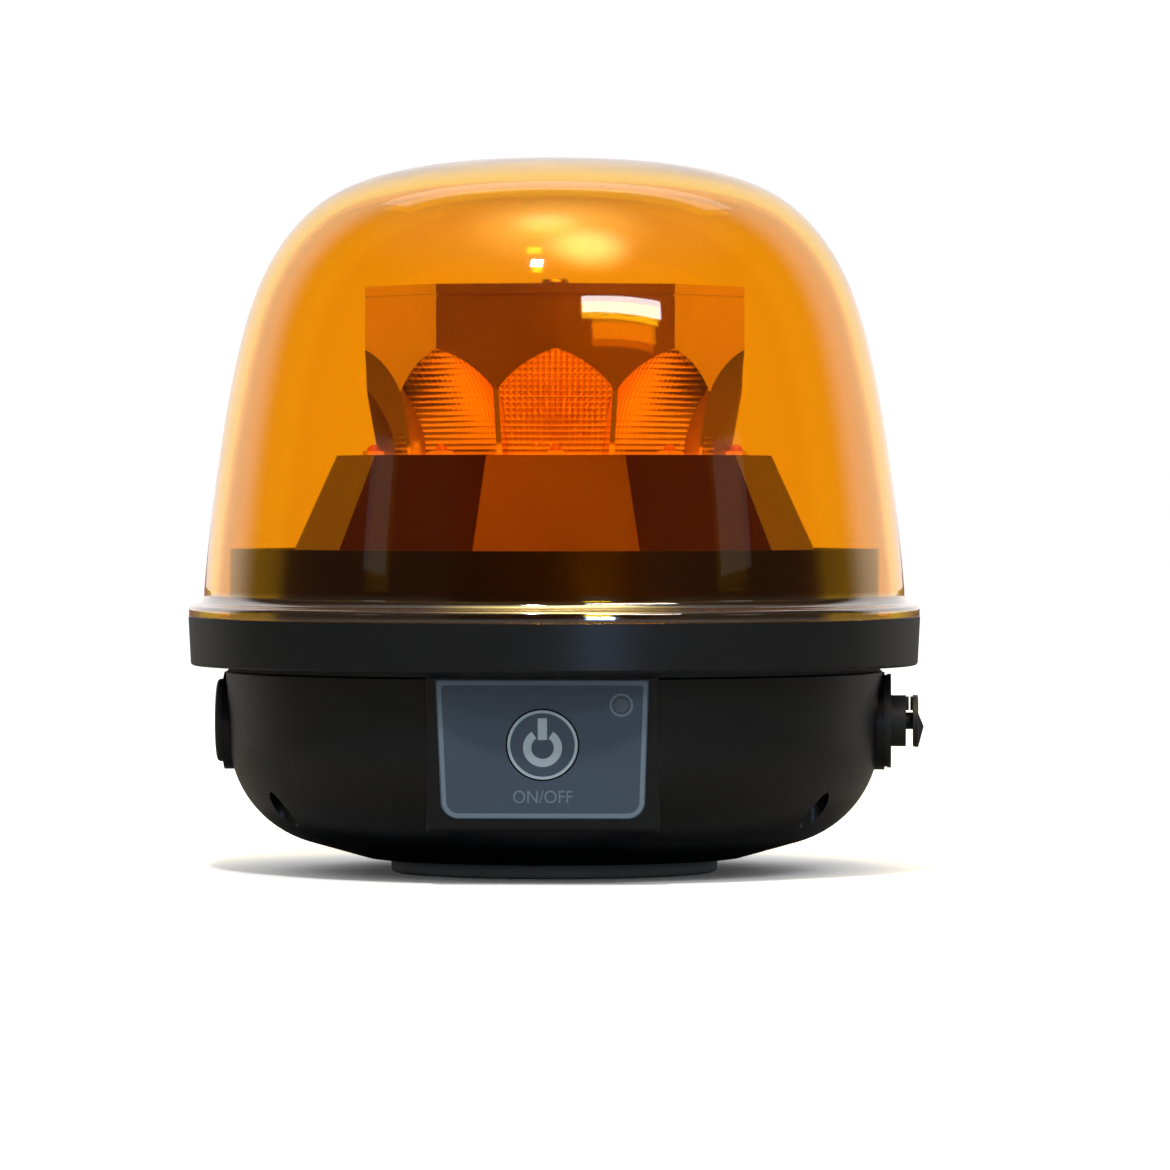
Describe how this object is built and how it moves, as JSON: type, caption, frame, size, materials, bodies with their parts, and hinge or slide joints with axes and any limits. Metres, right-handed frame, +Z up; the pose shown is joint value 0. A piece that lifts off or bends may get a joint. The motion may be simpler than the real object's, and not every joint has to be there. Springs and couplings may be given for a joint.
{
  "type": "magnetic led beacon",
  "caption": "Amber warning beacon: a clear dome over a ring of reflector scoops, on a round base with a keypad, a charging socket and a magnetic foot.",
  "frame": {"origin": "centre of the magnet's flat face, where the beacon stands", "axes": "+Z up through the dome, the keypad faces -Y, the charging socket points along +X"},
  "size_m": [0.1487, 0.148, 0.1443],
  "materials": {
    "amber_clear": "clear amber polycarbonate, polished",
    "black_moulding": "black moulded plastic, fine satin texture",
    "module_black": "black moulded plastic, smooth",
    "black_rubber": "black rubber coat, matt",
    "seal_rubber": "black seal rubber",
    "cap_rubber": "black moulded rubber, satin",
    "keypad_film": "printed slate blue film, satin",
    "key_film": "printed slate blue film, satin",
    "dark_plastic": "dark moulded plastic",
    "plug_white": "off-white moulded plastic",
    "clear_pipe": "clear light pipe",
    "lamp_white": "lamp with a pale phosphor lens",
    "metallised": "bright metallised moulding",
    "board_green": "green lacquered board",
    "board_white": "white lacquered metal-core board",
    "bare_aluminium": "bare aluminium",
    "zinc_steel": "zinc-plated steel",
    "spring_steel": "nickel-plated spring steel",
    "nickel_magnet": "nickel-plated magnet",
    "brass_contact": "plated brass",
    "copper_winding": "enamelled copper winding",
    "cell_sleeve": "blue shrink sleeve over a steel can",
    "lead_red": "red lead insulation",
    "lead_black": "black lead insulation"
  },
  "bodies": {
    "beacon": {"magnet_jacket": "black_rubber", "magnet_backplate": "zinc_steel", "magnet_discs": "nickel_magnet", "magnet_stud": "zinc_steel", "magnet_washer": "zinc_steel", "magnet_nut": "zinc_steel", "bowl_housing": "black_moulding", "rim_seal": "seal_rubber", "housing_screws": "zinc_steel", "collar_chassis": "black_moulding", "dome_seal": "seal_rubber", "dome_lens": "amber_clear", "keypad_overlay": "keypad_film", "switch_case": "dark_plastic", "switch_board": "board_green", "switch_board_screws": "zinc_steel", "indicator_pipe": "clear_pipe", "indicator_lamp": "lamp_white", "socket_gasket": "seal_rubber", "charge_socket": "dark_plastic", "socket_pin": "brass_contact", "socket_terminals": "brass_contact", "socket_nut": "dark_plastic", "cap_strap": "cap_rubber", "blanking_plug": "cap_rubber", "plinth": "module_black", "plinth_screws": "zinc_steel", "heat_spreader": "bare_aluminium", "led_board": "board_white", "leds": "lamp_white", "reflector_crown": "metallised", "crown_cap": "module_black", "crown_screws": "zinc_steel", "battery_tray": "dark_plastic", "battery_cells": "cell_sleeve", "battery_contacts": "spring_steel", "battery_bands": "dark_plastic", "band_screws": "zinc_steel", "control_board": "board_green", "control_screws": "zinc_steel", "driver_coil": "copper_winding", "capacitors": "bare_aluminium", "control_chips": "dark_plastic", "lead_plugs": "plug_white", "lamp_leads": "lead_red", "battery_leads": "lead_red", "charge_leads": "lead_black", "switch_leads": "lead_black"},
    "key": {"power_key": "key_film", "switch_plunger": "dark_plastic"},
    "socket_cap": {"charge_cap": "cap_rubber"}
  },
  "joints": [
    {"name": "key_press", "type": "slide", "parent": "beacon", "child": "key", "axis": [0, 0.9877, 0.1564], "range_m": [0, 0.0004], "stiffness_N_per_m": 4000, "springref_m": -0.0001},
    {"name": "cap_swing", "type": "hinge", "parent": "beacon", "child": "socket_cap", "pos_m": [0.072, 0, 0.03538], "axis": [0, -1, 0], "range_deg": [0, 100]}
  ]
}
